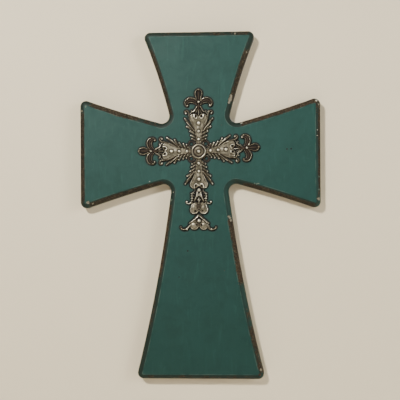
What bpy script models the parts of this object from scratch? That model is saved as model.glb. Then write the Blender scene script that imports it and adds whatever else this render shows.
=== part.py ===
"""Wall cross: a thick painted board cut to a cross with flared arms and rounded edges, with a smaller
flowered cross of cast metal fixed to the middle of its front, and a keyhole slot in its back to hang by.

The cross stands upright as it hangs. Its back lies in the plane Y = 0, its front faces -Y, +Z is up, and the
origin is the middle of the crossing, on the back. Metres.
"""

import math
from collections import namedtuple

import bmesh
import bpy
from mathutils import Matrix, Vector

MM = 0.001

# Board: reaches are measured from the middle of the crossing, half widths from an arm's middle line
TOP_REACH = 122.5 * MM
SIDE_REACH = 120.8 * MM
FOOT_REACH = 226.3 * MM
TOP_END_HALF = 58.0 * MM
SIDE_END_HALF = 56.8 * MM
FOOT_END_HALF = 65.2 * MM
CROSSING_HALF = 27.7 * MM
TOP_HOLLOW = 2.1 * MM  # how far each side bows in from the straight line
SIDE_HOLLOW = 1.0 * MM
FOOT_HOLLOW = 3.2 * MM
BOARD_THICKNESS = 15.0 * MM
NOTCH_FILLET = 7.5 * MM
EDGE_ROUND = 4.8 * MM
FACE_STEP = 0.45 * MM  # the rounded edge starts this far below the face
FACE_STEP_RUN = 0.25 * MM
FACE_CORNER = 0.8 * MM  # corner radius left on the face, inside the rounded edge
BACK_CHAMFER = 0.8 * MM
EDGE_STEPS = 4
CORNER_STEPS = 4
NOTCH_STEPS = 6
SIDE_STEPS = 5
FOOT_STEPS = 7

# Nicks knocked out of the board's edge: arc, hand (+1 is right), share of the arc from its start, size
NICKS = (
    ("top side", 1, 0.70, 2.9 * MM),
    ("top side", 1, 0.12, 1.7 * MM),
    ("side top", 1, 0.04, 2.2 * MM),
    ("side upper corner", -1, 0.95, 1.8 * MM),
    ("side lower corner", -1, 0.70, 2.0 * MM),
    ("side lower corner", 1, 0.35, 2.2 * MM),
    ("foot side", 1, 0.14, 2.4 * MM),
    ("foot side", 1, 0.66, 1.6 * MM),
    ("foot side", 1, 0.985, 2.2 * MM),
)
NICK_SINK = 0.55  # share of a nick's size that lies outside the board

# Keyhole slot in the back, for the head of a screw
KEYHOLE_RISE = 68.0 * MM  # from the crossing up to the middle of the entry hole
KEYHOLE_ENTRY_RADIUS = 5.0 * MM
KEYHOLE_NECK_WIDTH = 5.2 * MM
KEYHOLE_TRAVEL = 16.0 * MM
KEYHOLE_LIP = 3.0 * MM
KEYHOLE_DEPTH = 8.0 * MM
KEYHOLE_STEPS = 16
CUT_MARGIN = 1.0 * MM

# Casting: its height, from the top lily's tip to the foot's last curl, sets the scale of everything on it
CASTING_HEIGHT = 141.7 * MM
CASTING_RISE = 2.0 * MM  # of the casting's middle above the crossing's
CASTING_SHIFT = -0.6 * MM
GLUE_GAP = 0.3 * MM

# Drawing of the casting, in units of which its height is DRAWN_HEIGHT: u runs out along an arm from the
# casting's middle, v across it, and heights are above the casting's back
DRAWN_HEIGHT = 142.3
TOP_ARM_ANGLE = 90.0
RIGHT_ARM_ANGLE = 3.8  # both side arms are bent up a little
LEFT_ARM_ANGLE = 179.2
FOOT_ARM_ANGLE = 270.0
TOP_ARM_SIZE = 1.015  # of the foot arm's size, along and across
SIDE_ARM_SIZE = 0.985
ROOT_DEPTH = 0.8  # shapes run this far below the back before it is cut flat
RELIEF_LIMIT = 9.0

BOSS_PROFILE = ((7.6, -ROOT_DEPTH), (7.6, 2.6), (6.9, 3.7), (6.0, 3.7), (5.2, 2.6), (4.5, 3.4), (2.6, 4.4))
BOSS_STEPS = 16
BOSS_PEARL = (1.9, 4.2)  # radius, height of its middle

HEART_TIP = (6.0, 2.6)  # u and half width where a heart starts in the boss
HEART_LOBE = (32.8, 4.6, 4.4)  # u, v and radius of a lobe
HEART_BOW = 2.0  # how far a heart's sides bow in
HEART_EDGE = 2.2
HEART_CROWN = 3.0
HEART_INSET = 0.8

BEAD_PLACES = (11.7, 19.6, 27.6)
BEAD_RADII = (1.5, 1.5, 2.0)
COLLAR_RADIUS = 2.9
COLLAR_THICKNESS = 0.55
VOLUTE_START = (30.8, 1.0)

BARB_COUNT = 5
BARB_FIRST = 8.6
BARB_LAST = 21.0
BARB_OFFSET = 2.3  # of a barb's root from the arm's middle line
BARB_SPREAD = 1.6  # more for the last barb than for the first
BARB_LENGTH = 5.1
BARB_LAST_LENGTH = 15.4
BARB_LEAN = 32.0  # degrees
BARB_TURN = 54.0
BARB_RADII = (0.9, 1.0, 0.65)
BARB_HEIGHT = 2.0

LOOP_REACH = 10.2
LOOP_RADIUS = 2.6
LOOP_THICKNESS = 0.75
LOOP_HEIGHT = 1.5

Arc = namedtuple("Arc", "name centre radius start turn steps hollow keep_last")


def clear_scene():
    for obj in list(bpy.data.objects):
        bpy.data.objects.remove(obj, do_unlink=True)


def material(name, colour, roughness, metallic):
    made = bpy.data.materials.new(name)
    made.use_nodes = True
    shader = made.node_tree.nodes["Principled BSDF"]
    shader.inputs["Base Color"].default_value = (*colour, 1.0)
    shader.inputs["Roughness"].default_value = roughness
    shader.inputs["Metallic"].default_value = metallic
    return made


def object_from(bm, name, parent=None, finish=None):
    mesh = bpy.data.meshes.new(name)
    bm.to_mesh(mesh)
    bm.free()
    obj = bpy.data.objects.new(name, mesh)
    bpy.context.scene.collection.objects.link(obj)
    obj.parent = parent
    if finish:
        mesh.materials.append(finish)
    return obj


def cutter_from(bm, name, parent):
    bmesh.ops.recalc_face_normals(bm, faces=bm.faces)
    cutter = object_from(bm, name, parent)
    cutter.hide_render = True
    cutter.display_type = "WIRE"
    return cutter


def boolean(obj, cutter, operation, self_join=False):
    modifier = obj.modifiers.new(cutter.name, "BOOLEAN")
    modifier.operation = operation
    modifier.object = cutter
    modifier.solver = "EXACT"
    modifier.use_self = self_join


# The board's outline is a chain of arcs. Each keeps its centre when the outline is drawn further in.


def hollow_circle(reach, end_half, hollow):
    """Centre and radius of an arm's hollow side, in the arm's own (across, along) plane."""
    neck = Vector((CROSSING_HALF, CROSSING_HALF))
    tip = Vector((end_half, reach))
    chord = tip - neck
    away = Vector((chord.y, -chord.x)).normalized()
    radius = chord.length_squared / (8 * hollow) + hollow / 2
    return (neck + tip) / 2 + away * (radius - hollow), radius


def corner_centre(centre, radius, reach, corner):
    """Centre of the round corner between the arm's square end and its hollow side."""
    along = reach - corner
    across = centre.x - math.sqrt((radius + corner) ** 2 - (along - centre.y) ** 2)
    return Vector((across, along))


def notch_centre(first, second, fillet):
    """Centre of the fillet that touches two hollow sides, each given as (centre, radius)."""
    (a, a_radius), (b, b_radius) = first, second
    near, far = a_radius - fillet, b_radius - fillet
    gap = b - a
    along = (near**2 - far**2 + gap.length_squared) / (2 * gap.length)
    aside = math.sqrt(near**2 - along**2)
    middle = a + gap.normalized() * along
    normal = Vector((-gap.y, gap.x)).normalized()
    return min((middle + normal * aside, middle - normal * aside), key=lambda point: point.length)


def arc_between(name, centre, radius, start, end, steps, hollow, keep_last=False):
    first = math.atan2(start.y - centre.y, start.x - centre.x)
    last = math.atan2(end.y - centre.y, end.x - centre.x)
    turn = (last - first + math.pi) % (2 * math.pi) - math.pi
    return Arc(name, centre, radius, first, turn, steps, hollow, keep_last)


def right_hand_arcs():
    """The arcs of the outline's right half, from the top end's corner round to the foot's corner."""
    corner = EDGE_ROUND + FACE_STEP_RUN + FACE_CORNER
    to_top = Matrix(((1, 0), (0, 1)))
    to_upper = Matrix(((0, 1), (1, 0)))
    to_lower = Matrix(((0, 1), (-1, 0)))
    to_foot = Matrix(((1, 0), (0, -1)))
    arms = (
        ("top side", to_top, TOP_REACH, TOP_END_HALF, TOP_HOLLOW, SIDE_STEPS),
        ("side top", to_upper, SIDE_REACH, SIDE_END_HALF, SIDE_HOLLOW, SIDE_STEPS),
        ("side bottom", to_lower, SIDE_REACH, SIDE_END_HALF, SIDE_HOLLOW, SIDE_STEPS),
        ("foot side", to_foot, FOOT_REACH, FOOT_END_HALF, FOOT_HOLLOW, FOOT_STEPS),
    )
    sides = []
    for name, turned, reach, end_half, hollow, steps in arms:
        centre, radius = hollow_circle(reach, end_half, hollow)
        round_centre = corner_centre(centre, radius, reach, corner)
        meet = centre + (round_centre - centre).normalized() * radius
        square = Vector((round_centre.x, reach))
        points = [turned @ point for point in (centre, round_centre, meet, square)]
        sides.append((name, radius, steps, *points))

    arcs = []
    corner_names = ("top corner", "side upper corner", "side lower corner", "foot corner")
    for upper, lower, notch_name in ((0, 1, "upper notch"), (2, 3, "lower notch")):
        a_name, a_radius, a_steps, a_centre, a_round, a_meet, a_square = sides[upper]
        b_name, b_radius, b_steps, b_centre, b_round, b_meet, b_square = sides[lower]
        fillet = notch_centre((a_centre, a_radius), (b_centre, b_radius), NOTCH_FILLET)
        a_end = a_centre + (fillet - a_centre).normalized() * a_radius
        b_end = b_centre + (fillet - b_centre).normalized() * b_radius
        arcs += [
            arc_between(corner_names[upper], a_round, corner, a_square, a_meet, CORNER_STEPS, False),
            arc_between(a_name, a_centre, a_radius, a_meet, a_end, a_steps, True),
            arc_between(notch_name, fillet, NOTCH_FILLET, a_end, b_end, NOTCH_STEPS, True),
            arc_between(b_name, b_centre, b_radius, b_end, b_meet, b_steps, True),
            arc_between(corner_names[lower], b_round, corner, b_meet, b_square, CORNER_STEPS, False, True),
        ]
    return arcs


def arc_point(arc, share, inset):
    radius = arc.radius + (inset if arc.hollow else -inset)
    angle = arc.start + arc.turn * share
    return arc.centre + Vector((math.cos(angle), math.sin(angle))) * radius


def outline(arcs, inset):
    """The whole outline, drawn in by inset, as points in the board's own plane."""
    right = []
    for arc in arcs:
        count = arc.steps + (1 if arc.keep_last else 0)
        right += [arc_point(arc, step / arc.steps, inset) for step in range(count)]
    left = [Vector((-point.x, point.y)) for point in reversed(right)]
    return right + left


def board_rings():
    """Inset and height of each ring of the board, from its back to its face."""
    shoulder = BOARD_THICKNESS - FACE_STEP - EDGE_ROUND
    rings = [(BACK_CHAMFER, 0.0), (0.0, BACK_CHAMFER)]
    for step in range(EDGE_STEPS + 1):
        angle = math.pi / 2 * step / EDGE_STEPS
        rings.append((EDGE_ROUND * (1 - math.cos(angle)), shoulder + EDGE_ROUND * math.sin(angle)))
    rings.append((EDGE_ROUND + FACE_STEP_RUN, BOARD_THICKNESS))
    return rings


def board_mesh(arcs):
    bm = bmesh.new()
    rows = []
    for inset, height in board_rings():
        rows.append([bm.verts.new((point.x, point.y, height)) for point in outline(arcs, inset)])
    for low, high in zip(rows, rows[1:]):
        for index in range(len(low)):
            after = (index + 1) % len(low)
            bm.faces.new((low[index], low[after], high[after], high[index]))
    bm.faces.new(rows[0])
    bm.faces.new(rows[-1])
    bmesh.ops.recalc_face_normals(bm, faces=bm.faces)
    return bm


def nick_cutter(arcs, parent):
    """Small rough balls at the board's rounded edge, each taking one nick out of it."""
    by_name = {arc.name: arc for arc in arcs}
    bm = bmesh.new()
    for name, hand, share, size in NICKS:
        point = arc_point(by_name[name], share, size * (1 - NICK_SINK) - size)
        height = BOARD_THICKNESS - FACE_STEP - EDGE_ROUND / 2
        place = Matrix.Translation((point.x * hand, point.y, height)) @ Matrix.Rotation(share * 9, 4, "Y")
        bmesh.ops.create_icosphere(bm, subdivisions=1, radius=size, matrix=place)
    return cutter_from(bm, "nick_cutter", parent)


def prism(bm, points, low, high):
    """A straight-sided solid on a closed outline."""
    face = bm.faces.new([bm.verts.new((point.x, point.y, low)) for point in points])
    raised = bmesh.ops.extrude_face_region(bm, geom=[face])["geom"]
    verts = [item for item in raised if isinstance(item, bmesh.types.BMVert)]
    bmesh.ops.translate(bm, verts=verts, vec=(0, 0, high - low))


def keyhole_cutters(parent):
    """The slot's mouth, which is a round entry below a narrow neck, and the wide pocket behind its lip."""
    entry = Vector((0, KEYHOLE_RISE))
    top = Vector((0, KEYHOLE_RISE + KEYHOLE_TRAVEL))
    neck = KEYHOLE_NECK_WIDTH / 2
    lean = math.asin(neck / KEYHOLE_ENTRY_RADIUS)
    sweep = 2 * math.pi - 2 * lean

    def turned(centre, radius, start, turn):
        angles = [start + turn * step / KEYHOLE_STEPS for step in range(KEYHOLE_STEPS + 1)]
        return [centre + Vector((math.sin(angle), math.cos(angle))) * radius for angle in angles]

    mouth = turned(entry, KEYHOLE_ENTRY_RADIUS, lean, sweep)
    mouth += turned(top, neck, -math.pi / 2, math.pi)
    pocket = turned(entry, KEYHOLE_ENTRY_RADIUS, math.pi / 2, math.pi)
    pocket += turned(top, KEYHOLE_ENTRY_RADIUS, -math.pi / 2, math.pi)
    cutters = []
    for name, points, low, high in (
        ("keyhole_mouth", mouth, -CUT_MARGIN, KEYHOLE_DEPTH - CUT_MARGIN),
        ("keyhole_pocket", pocket, KEYHOLE_LIP, KEYHOLE_DEPTH),
    ):
        bm = bmesh.new()
        prism(bm, points, low, high)
        cutters.append(cutter_from(bm, name, parent))
    return cutters


def make_board(parent, finish):
    arcs = right_hand_arcs()
    board = object_from(board_mesh(arcs), "board", parent, finish)
    for cutter in (*keyhole_cutters(parent), nick_cutter(arcs, parent)):
        boolean(board, cutter, "DIFFERENCE")
    return board


# Shapes of the casting. Each is drawn in an arm's own plane, and place turns it into the casting's. All of
# them run down past the casting's back, which is then cut flat.


def bead(bm, place, u, v, radius, height, segments=8, rings=4):
    at = place @ Matrix.Translation((u, v, height))
    bmesh.ops.create_uvsphere(bm, u_segments=segments, v_segments=rings, radius=radius, matrix=at)


def half_round(radius, crest, points):
    """The section of a bar with a flat back, as (across, height), from foot over crest to foot."""
    angles = [math.pi * index / (points - 1) for index in range(points)]
    section = [(radius * math.cos(angle), crest * math.sin(angle)) for angle in angles]
    spread = radius * (1 + ROOT_DEPTH / crest) if points == 3 else radius
    section[0] = (spread, -ROOT_DEPTH)
    section[-1] = (-spread, -ROOT_DEPTH)
    return section


def skin(bm, rings, closed=False):
    """Faces over a row of section rings, capped at both ends or closed on itself."""
    pairs = list(zip(rings, rings[1:]))
    if closed:
        pairs.append((rings[-1], rings[0]))
    else:
        bm.faces.new(rings[0])
        bm.faces.new(rings[-1])
    for first, second in pairs:
        for side in range(len(first)):
            after = (side + 1) % len(first)
            bm.faces.new((first[side], first[after], second[after], second[side]))


def ring(bm, place, u, v, radius, thickness, crest, steps=8, points=3):
    """A plain round ring lying flat."""
    rings = []
    for step in range(steps):
        angle = 2 * math.pi * step / steps
        verts = []
        for across, height in half_round(thickness, crest, points):
            reach = radius + across
            verts.append(bm.verts.new(place @ Vector(
                (u + reach * math.cos(angle), v + reach * math.sin(angle), height))))
        rings.append(verts)
    skin(bm, rings, closed=True)


def stem(bm, place, start, heading, length, turn, curl, radii, crest, hand=1, points=3, steps=4):
    """A half-round stalk on a curve, with its half widths at root, middle and tip given as radii.

    Its heading turns evenly by turn, and faster towards the tip by curl, in degrees."""
    root, middle, tip = radii
    u, v = start
    v *= hand
    rings = []
    for step in range(steps + 1):
        share = step / steps
        angle = math.radians(heading + turn * share + curl * share**3) * hand
        radius = root * (1 - share) * (1 - 2 * share) + 4 * middle * share * (1 - share)
        radius += tip * share * (2 * share - 1)
        across = Vector((-math.sin(angle), math.cos(angle)))
        centre = Vector((u, v))
        verts = []
        for offset, height in half_round(radius, crest, points):
            point = centre + across * offset
            verts.append(bm.verts.new(place @ Vector((point.x, point.y, height))))
        rings.append(verts)
        between = math.radians(heading + turn * (share + 0.5 / steps)
                               + curl * (share + 0.5 / steps) ** 3) * hand
        u += math.cos(between) * length / steps
        v += math.sin(between) * length / steps
    skin(bm, rings)


def plate(bm, place, points, edge, crown, inset):
    """A flat plate on a closed outline, with its top drawn in and raised to a crown."""
    face = bm.faces.new([bm.verts.new(place @ Vector((point.x, point.y, -ROOT_DEPTH))) for point in points])
    raised = bmesh.ops.extrude_face_region(bm, geom=[face])["geom"]
    verts = [item for item in raised if isinstance(item, bmesh.types.BMVert)]
    bmesh.ops.translate(bm, verts=verts, vec=(0, 0, edge + ROOT_DEPTH))
    top = [item for item in raised if isinstance(item, bmesh.types.BMFace)]
    around = {near for vert in verts for near in vert.link_faces}
    bmesh.ops.recalc_face_normals(bm, faces=[face, *around])
    bmesh.ops.inset_region(bm, faces=top, thickness=inset, depth=crown - edge, use_even_offset=True)


def mirrored(points):
    """A half outline, given from one end of the middle line to the other, with its mirror image."""
    half = [Vector(point) for point in points]
    return half + [Vector((point.x, -point.y)) for point in reversed(half)]


def heart_outline(tip, lobe, bow, lobe_steps=6, side_steps=2):
    """A heart with its point at the tip, two sides that swell by bow, and two round lobes."""
    start = Vector(tip)
    lobe_u, lobe_v, lobe_radius = lobe
    centre = Vector((lobe_u, lobe_v))
    away = centre - start
    lean = math.atan2(away.y, away.x) + math.asin(lobe_radius / away.length)
    shoulder = centre + Vector((-math.sin(lean), math.cos(lean))) * lobe_radius
    side = shoulder - start
    out = Vector((-side.y, side.x)).normalized()
    half = []
    for step in range(side_steps):
        share = step / side_steps
        half.append(start + side * share + out * bow * 4 * share * (1 - share))
    first = math.pi / 2 + lean
    last = -math.pi / 3
    for step in range(lobe_steps + 1):
        angle = first + (last - first) * step / lobe_steps
        half.append(centre + Vector((math.cos(angle), math.sin(angle))) * lobe_radius)
    notch = Vector((half[-1].x - half[-1].y, 0.0))
    return half + [notch] + [Vector((point.x, -point.y)) for point in reversed(half)]


def barb(bm, place, index, hand):
    """A leaf along a heart's side. The first are short and hooked, and the last is long and straight."""
    share = index / (BARB_COUNT - 1)
    u = BARB_FIRST + (BARB_LAST - BARB_FIRST) * share
    v = BARB_OFFSET + BARB_SPREAD * share
    length = BARB_LENGTH + (BARB_LAST_LENGTH - BARB_LENGTH) * share**3
    hooked = 1 - share**6
    stem(bm, place, (u, v), BARB_LEAN + 7 * (1 - hooked), length, 10 + (BARB_TURN - 10) * hooked, 0,
         BARB_RADII, BARB_HEIGHT, hand, steps=3 if share > 0.5 else 2)


def heart_and_barbs(bm, place):
    """The fan of one arm: a crowned heart with three beads and two volutes, and barbs down both sides."""
    plate(bm, place, heart_outline(HEART_TIP, HEART_LOBE, -HEART_BOW, side_steps=4),
          HEART_EDGE, HEART_CROWN, HEART_INSET)
    for u, radius in zip(BEAD_PLACES, BEAD_RADII):
        bead(bm, place, u, 0, radius, HEART_CROWN)
    ring(bm, place, BEAD_PLACES[-1], 0, COLLAR_RADIUS, COLLAR_THICKNESS, HEART_CROWN + COLLAR_THICKNESS)
    for hand in (1, -1):
        stem(bm, place, VOLUTE_START, 10, 8.6, 60, 190, (0.5, 0.6, 0.6),
             HEART_CROWN + 0.7, hand, steps=6)
        for index in range(BARB_COUNT):
            barb(bm, place, index, hand)


def crown_and_lily(bm, place):
    """The end of an arm: scrolls and hooks over the heart, a neck and a lily with three petals."""
    cup = mirrored(((31.0, 8.2), (35.5, 9.2), (38.6, 8.6), (40.2, 5.0), (41.5, 1.8), (44.5, 1.0)))
    plate(bm, place, cup, 1.1, 1.3, 0.3)
    stem(bm, place, (34.0, 0), 0, 16.0, 0, 0, (0.8, 1.1, 1.3), 2.6,
         points=4, steps=3)
    bead(bm, place, 48.9, 0, 1.5, 2.4)
    petal = mirrored(((47.0, 1.2), (50.5, 2.2), (54.5, 3.6), (58.0, 4.2), (60.3, 3.4), (61.6, 1.8)))
    plate(bm, place, petal, 2.4, 1.6, 0.9)
    stem(bm, place, (49.5, 0), 0, 10.0, 0, 0, (0.6, 0.8, 0.5), 2.5, steps=2)
    bead(bm, place, 61.3, 0, 1.2, 2.0)
    for hand in (1, -1):
        stem(bm, place, (35.0, 4.4), -27, 9.0, 0, 0, (0.6, 0.6, 0.6), 1.9,
             hand, steps=1)
        stem(bm, place, (45.2, 0.7), 146, 10.8, 12, -160, (0.8, 0.8, 0.7),
             2.2, hand, steps=5)
        stem(bm, place, (21.5, 4.4), 24, 12.6, -2, 0, (0.7, 0.8, 0.9), 2.3,
             hand, steps=1)
        stem(bm, place, (32.4, 9.1), 14, 10.8, -4, 190, (0.9, 1.0, 0.9),
             2.4, hand, steps=6)
        stem(bm, place, (46.2, 1.0), 48, 17.8, 30, 165, (1.0, 3.3, 0.9),
             2.7, hand, points=5, steps=7)


def foot_scrolls(bm, place):
    """The foot of the casting: a collar, scrolls and hooks, an upturned heart, and a broad last heart."""
    bead(bm, place, 38.8, 0, 2.0, 2.0)
    back = ((35.0, 4.0), (40.5, 4.2), (41.2, 6.6), (44.0, 7.4), (47.0, 6.6), (50.0, 6.0), (53.0, 6.2))
    plate(bm, place, mirrored(back), 1.1, 1.3, 0.3)
    upturned = heart_outline((50.2, 5.6), (59.0, 4.9, 4.6), 0.3)
    plate(bm, place, upturned, 2.1, 2.9, 1.0)
    last = heart_outline((60.6, 0.9), (74.5, 5.0, 4.4), 0.6)
    plate(bm, place, last, 2.1, 2.9, 1.0)
    bead(bm, place, 69.2, 0, 3.1, 1.4, segments=4)
    stem(bm, place, (47.6, 0), 0, 7.0, 0, 0, (0.7, 0.8, 0.7), 3.4, steps=2)
    for hand in (1, -1):
        stem(bm, place, (39.4, 1.5), 0, 14.6, 62, -8, (0.9, 1.2, 1.0),
             3.2, hand, steps=4)
        ring(bm, place, 43.2, 5.5 * hand, 1.9, 0.8, 2.4)
        stem(bm, place, (45.0, 6.2), 18, 7.0, -10, 0, (0.8, 0.9, 0.8), 2.2,
             hand, steps=1)
        stem(bm, place, (49.4, 6.4), 36, 8.0, 84, 30, (1.0, 0.8, 0.8), 2.1,
             hand, steps=4)
        bead(bm, place, 59.2, 5.0 * hand, 3.6, 0.4)
        bead(bm, place, 74.6, 5.0 * hand, 3.6, 0.6)
        stem(bm, place, (61.8, 0.2), 46, 16.4, 8, -34, (0.9, 1.0, 0.8), 3.4,
             hand, steps=4)
        stem(bm, place, (74.2, 9.0), 25, 11.0, 70, 120, (1.3, 1.1, 0.8),
             2.2, hand, points=4, steps=6)


def boss(bm):
    """The round boss in the middle: a raised rim, a groove, a dome and a pearl."""
    steps = [2 * math.pi * step / BOSS_STEPS for step in range(BOSS_STEPS)]
    rows = []
    for radius, height in BOSS_PROFILE:
        rows.append([bm.verts.new((radius * math.cos(angle), radius * math.sin(angle), height))
                     for angle in steps])
    skin(bm, rows)
    radius, height = BOSS_PEARL
    bead(bm, Matrix(), 0, 0, radius, height)


def casting_mesh():
    """All the casting's shapes, overlapping, with their roots below its back."""
    bm = bmesh.new()
    boss(bm)
    arms = ((TOP_ARM_ANGLE, TOP_ARM_SIZE), (RIGHT_ARM_ANGLE, SIDE_ARM_SIZE),
            (LEFT_ARM_ANGLE, SIDE_ARM_SIZE), (FOOT_ARM_ANGLE, 1.0))
    for angle, size in arms:
        place = Matrix.Rotation(math.radians(angle), 4, "Z") @ Matrix.Diagonal((size, size, 1, 1))
        heart_and_barbs(bm, place)
        if angle == FOOT_ARM_ANGLE:
            foot_scrolls(bm, place)
        else:
            crown_and_lily(bm, place)
    round_the_boss = (RIGHT_ARM_ANGLE, TOP_ARM_ANGLE, LEFT_ARM_ANGLE, FOOT_ARM_ANGLE, RIGHT_ARM_ANGLE + 360)
    for angle, after in zip(round_the_boss, round_the_boss[1:]):
        between = Matrix.Rotation(math.radians((angle + after) / 2), 4, "Z")
        ring(bm, between, LOOP_REACH, 0, LOOP_RADIUS, LOOP_THICKNESS, LOOP_HEIGHT)
    bmesh.ops.recalc_face_normals(bm, faces=bm.faces)
    return bm


def slab_mesh():
    """The slab that the casting is kept inside, which leaves its back flat."""
    bm = bmesh.new()
    size = Matrix.Diagonal((2 * DRAWN_HEIGHT, 2 * DRAWN_HEIGHT, RELIEF_LIMIT, 1))
    bmesh.ops.create_cube(bm, size=1, matrix=Matrix.Translation((0, 0, RELIEF_LIMIT / 2)) @ size)
    return bm


def make_casting(parent, finish):
    shapes, block = casting_mesh(), slab_mesh()
    for bm in (shapes, block):
        bmesh.ops.scale(bm, verts=bm.verts, vec=Vector((1, 1, 1)) * CASTING_HEIGHT / DRAWN_HEIGHT)
    casting = object_from(shapes, "casting", parent, finish)
    slab = cutter_from(block, "casting_slab", parent)
    for obj in (casting, slab):
        obj.location = (CASTING_SHIFT, CASTING_RISE, BOARD_THICKNESS + GLUE_GAP)
    boolean(casting, slab, "INTERSECT", self_join=True)
    return casting


def main():
    clear_scene()
    upright = bpy.data.objects.new("wall_cross", None)
    bpy.context.scene.collection.objects.link(upright)
    upright.rotation_euler = (math.pi / 2, 0, 0)
    teal = material("teal_paint", (0.045, 0.13, 0.11), 0.55, 0.0)
    silver = material("antique_silver", (0.52, 0.46, 0.36), 0.35, 1.0)
    make_board(upright, teal)
    make_casting(upright, silver)


main()
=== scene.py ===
import math

import bmesh
import bpy
import numpy as np
from mathutils import Matrix, Vector, noise
from mathutils.kdtree import KDTree


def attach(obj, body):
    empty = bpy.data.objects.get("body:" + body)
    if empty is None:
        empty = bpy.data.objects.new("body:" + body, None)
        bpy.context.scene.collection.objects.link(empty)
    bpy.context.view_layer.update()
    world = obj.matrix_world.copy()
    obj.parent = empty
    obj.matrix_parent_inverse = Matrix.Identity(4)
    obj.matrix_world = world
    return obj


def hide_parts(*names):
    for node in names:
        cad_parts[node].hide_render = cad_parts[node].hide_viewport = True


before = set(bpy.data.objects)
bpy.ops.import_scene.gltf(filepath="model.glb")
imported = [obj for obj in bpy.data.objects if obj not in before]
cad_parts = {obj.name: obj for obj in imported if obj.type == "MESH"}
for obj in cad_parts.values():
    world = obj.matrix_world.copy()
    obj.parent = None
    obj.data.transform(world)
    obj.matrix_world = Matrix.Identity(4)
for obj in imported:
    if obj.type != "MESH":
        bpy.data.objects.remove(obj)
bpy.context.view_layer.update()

# Both pieces are drawn flat in millimetres, x to the right, y up and z out of the wall, and then stood up.
standUp = Matrix.Rotation(math.pi / 2, 4, "X") @ Matrix.Scale(0.001, 4)


# Shared by both pieces

def objectFrom(bm, name):
    # an object in the scene made of a bmesh, which is freed
    mesh = bpy.data.meshes.new(name)
    bm.to_mesh(mesh)
    bm.free()
    made = bpy.data.objects.new(name, mesh)
    bpy.context.scene.collection.objects.link(made)
    return made


def discard(made):
    mesh = made.data
    bpy.data.objects.remove(made)
    bpy.data.meshes.remove(mesh)


def pieceFrom(bm, name):
    bmesh.ops.transform(bm, matrix=standUp, verts=bm.verts)
    bmesh.ops.recalc_face_normals(bm, faces=bm.faces)
    return objectFrom(bm, name)


def modified(bm, kind, **settings):
    # the same mesh with one modifier applied; the bmesh that goes in is freed
    holder = objectFrom(bm, "shaping")
    modifier = holder.modifiers.new("shaping", kind)
    for key, value in settings.items():
        setattr(modifier, key, value)
    shaped = holder.evaluated_get(bpy.context.evaluated_depsgraph_get())
    result = bmesh.new()
    result.from_mesh(shaped.to_mesh())
    shaped.to_mesh_clear()
    discard(holder)
    return result


def storeValues(mesh, name, values):
    values = np.asarray(values, dtype=np.float32)
    mesh.attributes.new(name, "FLOAT", "POINT").data.foreach_set("value", values)


def vertsIn(geometry):
    return [item for item in geometry if isinstance(item, bmesh.types.BMVert)]


def facesIn(geometry):
    return [item for item in geometry if isinstance(item, bmesh.types.BMFace)]


def liftFace(bm, face, height):
    raised = bmesh.ops.extrude_face_region(bm, geom=[face])["geom"]
    bmesh.ops.translate(bm, verts=vertsIn(raised), vec=(0, 0, height))
    return facesIn(raised)[0]


def topFace(bm):
    # the one face of a filled outline, turned to look up
    top = bm.faces[:][0]
    top.normal_update()
    if top.normal.z < 0:
        top.normal_flip()
    return top


def stepIn(bm, face, rows):
    # rows of insets and rises round a face
    for inset, rise in rows:
        bmesh.ops.inset_region(bm, faces=[face], thickness=inset, depth=rise, use_even_offset=True)


def smoothStep(low, high, value):
    share = min(max((value - low) / (high - low), 0.0), 1.0)
    return share * share * (3 - 2 * share)


# The casting: bars grown along curves, plates and beads, run together as metal does in a mould

casting = {
    "shift": -0.6,
    "rise": 2.0,
    "drawn": 0.9958,            # from the drawing to the metal
    "back": 15.3,
    "topAngle": 90.0,
    "rightAngle": 3.8,
    "leftAngle": 179.2,
    "footAngle": 270.0,
    "topSize": 1.015,
    "sideSize": 0.985,
    "bossEdge": 7.9,
    "voxel": 0.26,
    "kept": 0.5,                # share of the faces kept after the remesh
    "barSides": 10,
    "barStep": 0.7,
    "edgeSteps": 8,             # in each bowed edge of a plate
    "smoothing": 2,
    "smoothFactor": 0.45,
    "lilyStarts": 37.0,         # from the middle, where the browner metal starts
    "tailsStart": 11.5,
    "loopsEdge": 13.6,
    "nearTurns": 5,             # rounds of evening out that show what stands proud, near and wide
    "wideTurns": 40,
    "dull": ((0.255, 0.235, 0.172), (0.095, 0.086, 0.058)),
    "bright": (0.84, 0.80, 0.65),
    "lilySilver": (0.20, 0.170, 0.110),
    "stain": (0.036, 0.027, 0.015),
    "lilyStain": (0.043, 0.030, 0.020),
    # black patina in the hollows, also painted shade at the casting's foot
    "patinaAndShadeBlack": (0.0022, 0.0016, 0.0010),
}

jewels = []
dimples = []
tints = []


def curvedPath(start, heading, length, turn=0, curl=0, hand=1):
    # the heading turns evenly by turn, and faster towards the tip by curl
    count = max(4, math.ceil(length / casting["barStep"]))
    point = Vector((start[0], start[1] * hand))
    path = [point.copy()]
    for index in range(count):
        share = (index + 0.5) / count
        angle = math.radians(heading + turn * share + curl * share**3) * hand
        point += Vector((math.cos(angle), math.sin(angle))) * length / count
        path.append(point.copy())
    return path


def between(values, share):
    if isinstance(values, (int, float)):
        return values
    root, middle, tip = values
    rest = 1 - share
    return root * rest * (1 - 2 * share) + 4 * middle * share * rest + tip * share * (2 * share - 1)


def beside(path, widths, side):
    # a path that keeps to one side of another, at a share of its half width
    moved = []
    for index, point in enumerate(path):
        along = (path[min(index + 1, len(path) - 1)] - path[max(index - 1, 0)]).normalized()
        width = between(widths, index / (len(path) - 1))
        moved.append(point + Vector((-along.y, along.x)) * width * side)
    return moved


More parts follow.
